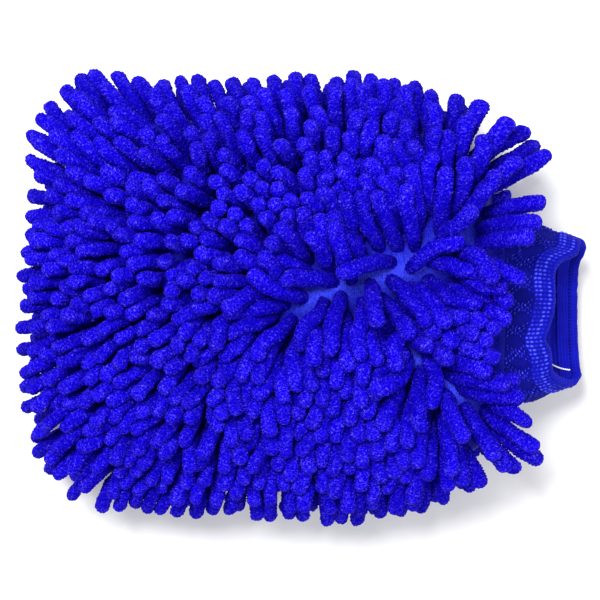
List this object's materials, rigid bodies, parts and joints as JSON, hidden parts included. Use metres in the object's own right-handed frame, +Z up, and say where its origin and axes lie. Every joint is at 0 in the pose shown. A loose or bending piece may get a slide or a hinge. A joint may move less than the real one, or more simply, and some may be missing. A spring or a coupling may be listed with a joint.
{
  "type": "wash mitt",
  "caption": "Soft wash mitt for washing a car by hand: a bag of two chenille pile panels sewn at the edge, with a knitted elastic cuff around the hand opening.",
  "frame": {"origin": "centre of the mitt's footprint on the surface that it lies on", "axes": "+Z up through the palm side, +X from the finger end towards the cuff, +Y across the mitt"},
  "size_m": [0.2665, 0.2142, 0.0798],
  "materials": {
    "chenille": "matte",
    "base_cloth": "matte",
    "cuff_knit": "matte",
    "seam_thread": "matte",
    "elastic": "matte",
    "white_thread": "satin"
  },
  "bodies": {
    "bag": {"palm_backing": "base_cloth", "back_backing": "base_cloth", "side_seam": "seam_thread", "cuff_seam": "seam_thread", "palm_row_01": "chenille", "palm_row_02": "chenille", "palm_row_03": "chenille", "palm_row_04": "chenille", "palm_row_05": "chenille", "palm_row_06": "chenille", "palm_row_07": "chenille", "palm_row_08": "chenille", "palm_row_09": "chenille", "palm_row_10": "chenille", "palm_row_11": "chenille", "palm_row_12": "chenille", "palm_row_13": "chenille", "palm_row_14": "chenille", "palm_row_15": "chenille", "palm_row_16": "chenille", "palm_row_17": "chenille", "palm_row_18": "chenille", "palm_row_19": "chenille", "palm_row_20": "chenille", "palm_row_21": "chenille", "back_row_01": "chenille", "back_row_02": "chenille", "back_row_03": "chenille", "back_row_04": "chenille", "back_row_05": "chenille", "back_row_06": "chenille", "back_row_07": "chenille", "back_row_08": "chenille", "back_row_09": "chenille", "back_row_10": "chenille", "back_row_11": "chenille", "back_row_12": "chenille", "back_row_13": "chenille", "back_row_14": "chenille", "back_row_15": "chenille", "back_row_16": "chenille", "back_row_17": "chenille", "back_row_18": "chenille", "back_row_19": "chenille", "back_row_20": "chenille", "back_row_21": "chenille"},
    "cuff": {"cuff_knit": "cuff_knit", "cuff_elastic": "elastic", "cuff_hem": "cuff_knit", "thread_tail": "white_thread"}
  },
  "joints": [
    {"name": "cuff_bend", "type": "hinge", "parent": "bag", "child": "cuff", "pos_m": [0.092, -0.006, 0.037], "axis": [0, -1, 0], "range_deg": [-15, 25], "stiffness_Nm_per_rad": 0.05}
  ]
}
